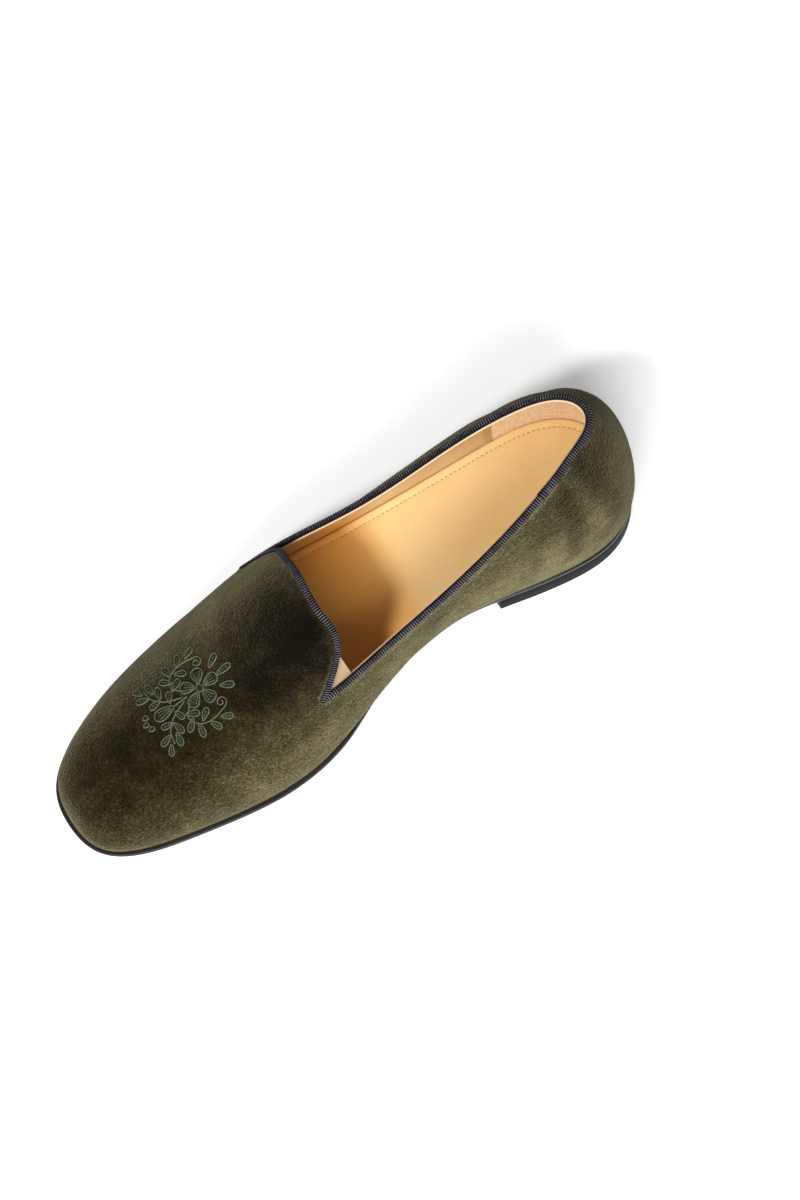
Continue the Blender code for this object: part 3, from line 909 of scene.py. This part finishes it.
def build_tape(name, around, t, replaces=(), start_raise=0.0, end_raise=0.0):
    """A ribbed tape along places on the upper's edge, a rib's sample apart, with the upper on its right."""
    centres = surface(around, t)
    along = unit(np.gradient(centres, axis=0))
    down_foot, up_rib, normal = tangents(around, t)
    inward = unit(np.cross(along, normal))
    dd = (down_foot * down_foot).sum(1)
    du = (down_foot * up_rib).sum(1)
    uu = (up_rib * up_rib).sum(1)
    di = (down_foot * inward).sum(1)
    ui = (up_rib * inward).sum(1)
    shift_around = (di * uu - ui * du) / (dd * uu - du * du)
    shift_t = (ui * dd - di * du) / (dd * uu - du * du)
    travel = lengths_along(centres)
    rib = np.cos(2 * np.pi * travel / RIB_PITCH)
    raised = start_raise * np.exp(-((travel / JOINT_OVERLAP) ** 2))
    raised += end_raise * np.exp(-(((travel[-1] - travel) / JOINT_OVERLAP) ** 2))
    table = np.array(TAPE_PROFILE)
    profile = table[:, :2]
    facing = profile_normals(profile)
    rings = []
    for (out, depth), (face_out, face_depth), show in zip(profile, facing, table[:, 2]):
        height = show * RIB_HEIGHT * rib
        out_now = out + face_out * height + raised * (out > RAISED_FROM)
        depth_now = depth + face_depth * height - raised * (depth < 0.0)
        place = surface(around + shift_around * depth_now, t + shift_t * depth_now)
        rings.append(place + normal * out_now[:, None])
    grid = np.stack(rings, 1)
    count, size = grid.shape[:2]
    faces = grid_faces(count, size)
    first = np.arange(count - 1) * size
    faces += np.stack([first + size - 1, first, first + size, first + 2 * size - 1], -1).tolist()
    faces += [list(range(size))[::-1], list(range((count - 1) * size, count * size))]
    tape = add_piece(name, grid.reshape(-1, 3), faces, GROSGRAIN, "tape", replaces, sharp=75.0)
    layer = tape.data.attributes.new("rib", "FLOAT", "POINT")
    layer.data.foreach_set("value", np.outer(rib, table[:, 2]).ravel().astype(np.float32))
    return tape


def even_steps(place, values):
    """Values of a path's parameter a rib's sample apart along the path."""
    travel = lengths_along(place(values))
    count = max(int(round(travel[-1] / RIB_PITCH)) * RIB_SAMPLES, 2)
    return np.interp(np.linspace(0.0, travel[-1], count + 1), travel, values)


def throat_place(share):
    """Places along the throat's edge, from -1 at the lateral corner over 0 at the crest to 1."""
    side = np.where(share < 0, LATERAL, MEDIAL)
    around = np.zeros_like(share)
    t = np.zeros_like(share)
    for one in SIDES:
        here = side == one
        t[here] = 1.0 - np.abs(share[here]) * (1.0 - CORNER_T[one])
        around[here] = one * throat(t[here], one)
    return around, t


def with_tail(values, length):
    """A tape's places, carried straight on past the last by a length."""
    steps = np.arange(1, int(length / RIB_PITCH * RIB_SAMPLES) + 1)
    return np.concatenate([values, values[-1] + (values[-1] - values[-2]) * steps])


def build_tapes():
    """Collar tape in two lengths that overlap on the medial side, and the throat tape over their ends."""
    def collar(around):
        return surface(around, topline(around))

    joint = float(position_at(JOINT_STATION))
    past_joint = float(position_at(JOINT_STATION - JOINT_OVERLAP))
    front = even_steps(collar, np.linspace(CORNER + FRONT_OVERRUN, past_joint, FRONT_SAMPLES))
    build_tape("collar_tape_front", front, topline(front))
    back = even_steps(collar, np.linspace(joint, -CORNER + BACK_SHORTFALL, BACK_SAMPLES))
    build_tape("collar_tape_back", back, topline(back), ("collar_binding",), start_raise=JOINT_RAISE)
    share = np.linspace(-1.0, 1.0, ACROSS_SAMPLES)
    share = even_steps(lambda values: surface(*throat_place(values)), share)
    around, t = (with_tail(values, THROAT_TAIL) for values in throat_place(share))
    build_tape(
        "throat_tape", around, t, ("throat_binding",), start_raise=THROAT_RAISE, end_raise=THROAT_RAISE
    )


# Sole, heel and insole


def rung_positions(count, start, end):
    """Positions along the last, closer together near the round ends of heel and toe."""
    even = np.linspace(0.0, 1.0, count)
    eased = (1.0 - np.cos(np.pi * even)) / 2
    return start + (end - start) * (END_CROWDING * eased + (1.0 - END_CROWDING) * even)


def slab(rings, columns, open_end=False):
    """A closed slab from rings of (rung, side, xyz) points, filled across its first and last ring."""
    rungs = rings[0].shape[0]
    points = np.vstack([ring.reshape(-1, 3) for ring in rings])
    faces = []
    for level in range(len(rings) - 1):
        low = 2 * (level * rungs + np.arange(rungs - 1))
        high = low + 2 * rungs
        faces += np.stack([low, high, high + 2, low + 2], -1).tolist()
        faces += np.stack([low + 1, low + 3, high + 3, high + 1], -1).tolist()
        if open_end:
            last = 2 * (level * rungs + rungs - 1)
            faces.append([last, last + 2 * rungs, last + 2 * rungs + 1, last + 1])
    for ring, flip in ((rings[0], False), (rings[-1], True)):
        share = np.linspace(0.0, 1.0, columns + 1)[None, :, None]
        grid = ring[:, :1] * (1 - share) + ring[:, 1:] * share
        faces += grid_faces(rungs, columns + 1, len(points), flip)
        points = np.vstack([points, grid.reshape(-1, 3)])
    return weld(points, faces)


def ring(position, out, height):
    """One ring of a slab: medial and lateral points at each position."""
    return np.stack([outline(side * position, out, height) for side in SIDES], 1)


# Sections of the slabs round their edge: distance out, and height as a base and a share of the thickness.
# The insole has no share.
SOLE_PROFILE = (
    (-12.0, 0.0, 0.0), (-8.0, 0.02, 0.0), (-5.0, 0.12, 0.0), (-3.0, 0.36, 0.0), (-1.6, 0.75, 0.0),
    (-0.7, 1.2, 0.0), (-0.15, 1.75, 0.0), (0.15, 2.3, 0.0), (0.25, 0.0, 0.6), (0.22, 0.0, 0.8),
    (0.05, 0.0, 0.95), (-0.3, 0.0, 1.0),
)
HEEL_PROFILE = (
    (0.0, 0.0, 0.0), (0.42, 0.1, 0.0), (0.64, 0.4, 0.0), (0.66, 1.2, 0.0), (0.25, 0.0, 0.5),
    (-0.1, 0.0, 0.96), (-0.3, 0.0, 1.0),
)
INSOLE_PROFILE = (
    (0.0, 0.0), (0.0, 1.5), (-0.12, 2.0), (-0.45, 2.35), (-1.0, 2.5), (-1.9, 2.55), (-2.8, 2.48),
    (-3.4, 2.25), (-3.9, 2.12), (-4.4, 2.25), (-5.3, 2.38), (-8.0, 2.42), (-12.0, 2.42),
)


def build_outsole():
    """Thin leather sole with a rolled edge."""
    position = rung_positions(SOLE_RUNGS, HEEL_END, TOE_END)
    here = section(position)
    edge = np.interp(here.station, SOLE_EDGE_STATIONS, SOLE_EDGE_OUT)
    top = here.feather_z - GAP
    bottom = np.maximum(0.0, top - SOLE_THICKNESS)
    rings = []
    for out, base, share in SOLE_PROFILE:
        rings.append(ring(position, edge + out, bottom + base + (top - bottom) * share))
    add_piece("leather_outsole", *slab(rings, SOLE_COLUMNS), SOLE_LEATHER, "sole_leather", ("outsole",))


def build_heel():
    """Low heel block, straight across at its breast."""
    position = rung_positions(HEEL_RUNGS, HEEL_END, float(position_at(BREAST_STATION)))
    here = section(position)
    edge = np.interp(here.station, SOLE_EDGE_STATIONS, SOLE_EDGE_OUT)
    top = np.maximum(0.0, here.feather_z - GAP - SOLE_THICKNESS) - HEEL_GAP
    rings = [ring(position, edge + out, base + top * share) for out, base, share in HEEL_PROFILE]
    block = slab(rings, HEEL_COLUMNS, open_end=True)
    add_piece("heel_block", *block, RUBBER, "heel_rubber", ("heel",))


def build_insole():
    """Leather sock with a raised rim and a groove for the stitches."""
    position = rung_positions(SOLE_RUNGS, HEEL_END, TOE_END)
    base = section(position).feather_z
    rings = [ring(position, out - INSOLE_INSET, base + up) for out, up in INSOLE_PROFILE]
    add_piece("leather_insole", *slab(rings, SOLE_COLUMNS), INSOLE_LEATHER, "insole_leather", ("insole",))


def ellipsoid(rows=5, columns=8):
    """Points and faces of a unit ball, longest along its x axis once scaled."""
    turn = np.linspace(0.0, 2 * np.pi, columns, endpoint=False)
    lean = np.linspace(0.0, np.pi, rows)
    points = np.stack([
        np.repeat(np.cos(lean), columns),
        np.outer(np.sin(lean), np.cos(turn)).ravel(),
        np.outer(np.sin(lean), np.sin(turn)).ravel(),
    ], -1)
    faces = []
    for row in range(rows - 1):
        for column in range(columns):
            beside = (column + 1) % columns
            low = row * columns
            faces.append([low + column, low + columns + column, low + columns + beside, low + beside])
    return weld(points, faces)


def build_insole_stitches():
    """Stitches all round the insole, sunk in its groove."""
    turn = np.linspace(0.0, len(LOOP), STITCH_SAMPLES)
    path = outline(turn, -STITCH_INSET, section(turn).feather_z + STITCH_HEIGHT)
    travel = lengths_along(path)
    count = int(travel[-1] / STITCH_PITCH)
    ball, ball_faces = ellipsoid()
    stitches = []
    for index in range(count):
        middle = travel[-1] * index / count
        back, front = (
            np.array([np.interp(middle + step, travel, path[:, axis]) for axis in range(3)])
            for step in (-STITCH_REACH, STITCH_REACH)
        )
        along = unit(front - back)
        beside = np.cross((0.0, 0.0, 1.0), along)
        over = np.cross(along, beside)
        basis = np.stack([along * STITCH_LENGTH / 2, beside * STITCH_RADIUS, over * STITCH_RADIUS])
        stitches.append((ball @ basis + (back + front) / 2, ball_faces))
    add_piece("insole_stitches", *joined(stitches), STITCH_THREAD, "insole_leather")


# Embroidery: a rosette between two leafy sprigs, drawn in millimetres, medial to the right and heel up

EMBROIDERY_STATION = 213.0
EMBROIDERY_X = -3.0
THREAD_WIDTH = 0.27
THREAD_HEIGHT = 0.45
THREAD_STITCH = 1.3
THREAD_STEP = 0.3
THREAD_TWIST = 0.22
FILL_STEP = 0.5
FILL_TOP = 0.4
FILL_LEVELS = ((1.0, -0.25), (0.97, 0.12), (0.7, 0.3), (0.35, 0.38))
ABOVE_SHOE = 200.0
LEAF_FULLNESS = 0.75
LEAF_TAPER = 0.35
CURL_CLOSING = 0.8


def oval(centre, length, width, turn, count=40):
    """A closed leaf or petal: rounded at its far end and drawn to a point at its base."""
    angle = np.linspace(0.0, 2 * np.pi, count, endpoint=False)
    along = np.cos(angle) * length / 2
    across = np.sin(angle) * width / 2 * (LEAF_FULLNESS + LEAF_TAPER * np.cos(angle))
    lean = np.radians(turn)
    x = centre[0] + along * np.cos(lean) - across * np.sin(lean)
    y = centre[1] + along * np.sin(lean) + across * np.cos(lean)
    return np.stack([x, y], -1)


def smooth_path(points, count=60):
    """A smooth curve through a few points."""
    points = np.array(points, float)
    padded = np.vstack([2 * points[0] - points[1], points, 2 * points[-1] - points[-2]])
    found = []
    for index in range(len(points) - 1):
        p0, p1, p2, p3 = padded[index:index + 4]
        f = np.linspace(0.0, 1.0, count // (len(points) - 1), endpoint=False)[:, None]
        found.append(0.5 * (2 * p1 + (p2 - p0) * f + (2 * p0 - 5 * p1 + 4 * p2 - p3) * f**2
                            + (3 * p1 - p0 - 3 * p2 + p3) * f**3))
    return np.vstack([*found, points[-1:]])


def curl(centre, radius, start, turns, count=40):
    """A spiral that closes on its centre."""
    share = np.linspace(0.0, 1.0, count)
    angle = np.radians(start) + 2 * np.pi * turns * share
    size = radius * (1 - CURL_CLOSING * share)
    return np.stack([centre[0] + size * np.cos(angle), centre[1] + size * np.sin(angle)], -1)


# The rosette: petals and their veins, the eye, and three leaves above it, each with its turn in degrees.
# A vein's ends are given by distance from the rosette's middle and spread to the side.
ROSETTE = np.array([0.0, 6.5])
PETAL_TURNS = (90.0, 162.0, 234.0, 306.0, 378.0)
PETAL_MIDDLE = 5.4
PETAL_SIZE = (6.8, 6.2)
PETAL_VEIN = ((2.8, 0.5), (7.0, 1.5))
SPREADS = (-1.0, 0.0, 1.0)
EYE = (3.8, 3.6, 0.0, 24)
TOP_LEAVES = ((90.0, 7.6), (122.0, 6.4), (58.0, 6.4))
TOP_LEAF_MIDDLE = 12.2
TOP_LEAF_WIDTH = 3.4
VEIN_SHARE = 0.3

# One sprig: its stems, its tendril, and its leaves by middle, length, width and turn
STEMS = (
    ((2.4, 0.4), (8.0, -4.0), (13.2, -1.0), (14.6, 5.0), (13.4, 11.0)),
    ((1.0, -2.0), (4.0, -9.0), (8.6, -13.4), (14.0, -14.6)),
)
TENDRIL = ((10.8, 11.0), 2.6, 0.0, 1.35)
SPRIG_LEAVES = (
    (7.6, -1.6, 6.0, 3.4, 60.0), (11.4, -4.6, 6.0, 3.2, -48.0), (15.6, -2.0, 6.0, 3.2, -10.0),
    (11.0, 2.6, 5.6, 3.2, 128.0), (17.2, 4.2, 5.6, 3.0, 28.0), (17.0, 10.0, 5.4, 2.9, 62.0),
    (4.6, -6.6, 5.4, 3.0, 20.0), (9.2, -9.6, 5.8, 3.2, 12.0), (5.6, -13.2, 5.8, 3.2, -100.0),
    (13.2, -12.0, 5.8, 3.2, -8.0), (10.6, -17.0, 5.8, 3.2, -72.0), (15.2, -17.2, 5.0, 2.8, -30.0),
)

# Below the rosette: a bud with its veins, the stem between them, and berries
BUD = ((0.0, -11.6), 9.6, 6.4, -90.0)
BUD_VEIN = ((0.5, -8.4), (1.6, -14.4))
MIDDLE_STEM = ((0.0, 0.0), (0.0, -6.4))
BERRIES = ((0.0, -21.0), (-2.9, -19.8), (2.9, -19.8))
BERRY = (2.6, 2.6, 90.0, 20)


def ray(turn):
    """A direction in the drawing, from degrees."""
    return np.array([np.cos(np.radians(turn)), np.sin(np.radians(turn))])


def vein(middle, length, turn):
    """A line along the middle of a leaf."""
    reach = VEIN_SHARE * length * ray(turn)
    return np.array([middle - reach, middle + reach])


def embroidery_drawing():
    """Filled shapes and lines of the design."""
    fills = []
    lines = []
    for turn in PETAL_TURNS:
        out = ray(turn)
        beside = np.array([-out[1], out[0]])
        fills.append(oval(ROSETTE + PETAL_MIDDLE * out, *PETAL_SIZE, turn))
        for spread in SPREADS:
            ends = [ROSETTE + away * out + aside * spread * beside for away, aside in PETAL_VEIN]
            lines.append(np.array(ends))
    fills.append(oval(ROSETTE, *EYE))
    for turn, length in TOP_LEAVES:
        middle = ROSETTE + TOP_LEAF_MIDDLE * ray(turn)
        fills.append(oval(middle, length, TOP_LEAF_WIDTH, turn))
        lines.append(vein(middle, length, turn))
    for mirror in SIDES:
        flip = np.array([mirror, 1.0])
        lines += [smooth_path(stem) * flip for stem in STEMS]
        lines.append(curl(*TENDRIL) * flip)
        for x, y, length, width, turn in SPRIG_LEAVES:
            middle = np.array([x, y])
            fills.append(oval(middle, length, width, turn) * flip)
            lines.append(vein(middle, length, turn) * flip)
    fills.append(oval(*BUD))
    for spread in SPREADS:
        lines.append(np.array([(aside * spread, height) for aside, height in BUD_VEIN]))
    lines.append(np.array(MIDDLE_STEM))
    fills += [oval(place, *BERRY) for place in BERRIES]
    return fills, lines


def on_velvet(tree, flat):
    """Points and normals on the velvet straight under a drawing's points."""
    points = []
    normals = []
    for x, y in flat:
        start = Vector((EMBROIDERY_X + x, ORIGIN_STATION - EMBROIDERY_STATION + y, ABOVE_SHOE))
        hit, normal, _, _ = tree.ray_cast(start, Vector((0.0, 0.0, -1.0)))
        points.append(hit)
        normals.append(normal if normal.z > 0 else -normal)
    return np.array(points), np.array(normals)


def resample(path, step, closed):
    """Points an even step apart along a path."""
    if closed:
        path = np.vstack([path, path[:1]])
    travel = lengths_along(path)
    count = max(int(travel[-1] / step), 4)
    place = np.linspace(0.0, travel[-1], count + 1)
    if closed:
        place = place[:-1]
    return np.stack([np.interp(place, travel, path[:, axis]) for axis in range(path.shape[1])], -1)


THREAD_PROFILE = (
    (-1.0, -0.3), (-0.85, 0.45), (-0.4, 0.9), (0.0, 1.0), (0.4, 0.9), (0.85, 0.45), (1.0, -0.3),
)


def thread_tube(tree, path, closed):
    """A couched thread along a path on the velvet."""
    flat = resample(path, THREAD_STEP, closed)
    points, normals = on_velvet(tree, flat)
    if closed:
        along = np.roll(points, -1, 0) - np.roll(points, 1, 0)
    else:
        along = np.gradient(points, axis=0)
    beside = unit(np.cross(along, normals))
    travel = np.arange(len(points)) * THREAD_STEP
    twist = 1.0 + THREAD_TWIST * np.cos(2 * np.pi * travel / THREAD_STITCH)
    rings = []
    for x, y in THREAD_PROFILE:
        aside = beside * (x * THREAD_WIDTH * twist)[:, None]
        rings.append(points + aside + normals * (y * THREAD_HEIGHT * twist)[:, None])
    grid = np.stack(rings, 1)
    if closed:
        grid = np.concatenate([grid, grid[:1]], 0)
    count, size = grid.shape[:2]
    faces = grid_faces(count, size, flip=True)
    first = np.arange(count - 1) * size
    faces += np.stack([first + size, first + 2 * size - 1, first + size - 1, first], -1).tolist()
    if not closed:
        faces += [list(range(size)), list(range((count - 1) * size, count * size))[::-1]]
    return grid.reshape(-1, 3), faces


def satin_fill(tree, path):
    """A low padded fill inside a closed path."""
    flat = resample(path, FILL_STEP, True)
    centre = flat.mean(0)
    rings = []
    for size, height in FILL_LEVELS:
        points, normals = on_velvet(tree, centre + (flat - centre) * size)
        rings.append(points + normals * height)
    points, normals = on_velvet(tree, centre[None, :])
    count = len(flat)
    everything = np.vstack([*rings, points + normals * FILL_TOP])
    faces = []
    for level in range(len(FILL_LEVELS) - 1):
        for index in range(count):
            beside = (index + 1) % count
            low = level * count
            faces.append([low + index, low + beside, low + count + beside, low + count + index])
    top = (len(FILL_LEVELS) - 1) * count
    faces += [[top + index, top + (index + 1) % count, len(everything) - 1] for index in range(count)]
    faces.append(list(range(count))[::-1])
    return everything, faces


def build_embroidery(tree):
    """The rosette and sprigs: dark padded fills with pale threads round and across them."""
    fills, lines = embroidery_drawing()
    ground = joined([satin_fill(tree, path) for path in fills])
    add_piece("embroidery_ground", *ground, GROUND_THREAD, "velvet", sharp=180.0)
    threads = [thread_tube(tree, path, True) for path in fills]
    threads += [thread_tube(tree, path, False) for path in lines]
    add_piece("embroidery_lines", *joined(threads), OUTLINE_THREAD, "velvet", sharp=180.0)


# Floor, light and camera

FLOOR_HALF = 6.0
ROOM_STRENGTH = 0.24
LIGHT_AIM = (0.0, 0.0, 0.03)

# Lights: name, direction from the shoe, distance and size in metres, and power in watts
LIGHTS = (
    ("key", (0.22, -0.56, 0.80), 2.2, 0.32, 36.0),
    ("side_fill", (0.74, -0.34, 0.58), 1.8, 1.2, 44.0),
)


def build_floor():
    """A large pale sheet under the shoe."""
    material, _ = new_material(
        "pale_floor", (0.93, 0.94, 0.93), 0.8,
        Specular_IOR_Level=0.1, Emission_Color=(1.0, 1.0, 1.0, 1.0), Emission_Strength=0.22,
    )
    corners = [(x * FLOOR_HALF, y * FLOOR_HALF, 0.0) for x, y in ((-1, -1), (1, -1), (1, 1), (-1, 1))]
    mesh = bpy.data.meshes.new("floor")
    mesh.from_pydata(corners, [], [(0, 1, 2, 3)])
    mesh.materials.append(material)
    floor = bpy.data.objects.new("floor", mesh)
    bpy.context.scene.collection.objects.link(floor)


def add_area_light(name, direction, distance, size, power):
    """A square soft light that faces the shoe from a direction."""
    light = bpy.data.lights.new(name, "AREA")
    light.size = size
    light.energy = power
    lamp = bpy.data.objects.new(name, light)
    lamp.location = Vector(direction).normalized() * distance + Vector(LIGHT_AIM)
    lamp.rotation_euler = Vector(direction).to_track_quat("Z", "Y").to_euler()
    bpy.context.scene.collection.objects.link(lamp)


def build_light():
    """Even light from all round, a small key light and a wide fill."""
    world = bpy.data.worlds.new("soft_room")
    world.use_nodes = True
    background = world.node_tree.nodes["Background"]
    background.inputs["Color"].default_value = (1.0, 1.0, 1.0, 1.0)
    background.inputs["Strength"].default_value = ROOM_STRENGTH
    scene = bpy.context.scene
    scene.world = world
    scene.view_settings.view_transform = "Standard"
    for light in LIGHTS:
        add_area_light(*light)


def build_camera():
    """The photograph's view, from its angles round and above the shoe."""
    azimuth, elevation, roll = np.radians((CAMERA_AZIMUTH, CAMERA_ELEVATION, CAMERA_ROLL))
    back = Vector((
        np.sin(azimuth) * np.cos(elevation), -np.cos(azimuth) * np.cos(elevation), np.sin(elevation),
    ))
    level = Vector((np.cos(azimuth), np.sin(azimuth), 0.0))
    raised = back.cross(level)
    right = level * np.cos(roll) + raised * np.sin(roll)
    up = raised * np.cos(roll) - level * np.sin(roll)
    data = bpy.data.cameras.new("camera")
    data.sensor_width = SENSOR
    data.lens = FOCAL_PIXELS * SENSOR / IMAGE_HEIGHT
    camera = bpy.data.objects.new("camera", data)
    turn = Matrix((right, up, back)).transposed().to_4x4()
    camera.matrix_world = Matrix.Translation((Vector(CAMERA_TARGET) + back * CAMERA_DISTANCE) * MM) @ turn
    bpy.context.scene.collection.objects.link(camera)
    bpy.context.scene.camera = camera


velvet_tree = build_velvet()
build_linings()
build_lining_edge()
build_tabs()
build_tapes()
build_outsole()
build_heel()
build_insole()
build_insole_stitches()
build_embroidery(velvet_tree)
build_floor()
build_light()
build_camera()

bpy.context.view_layer.update()
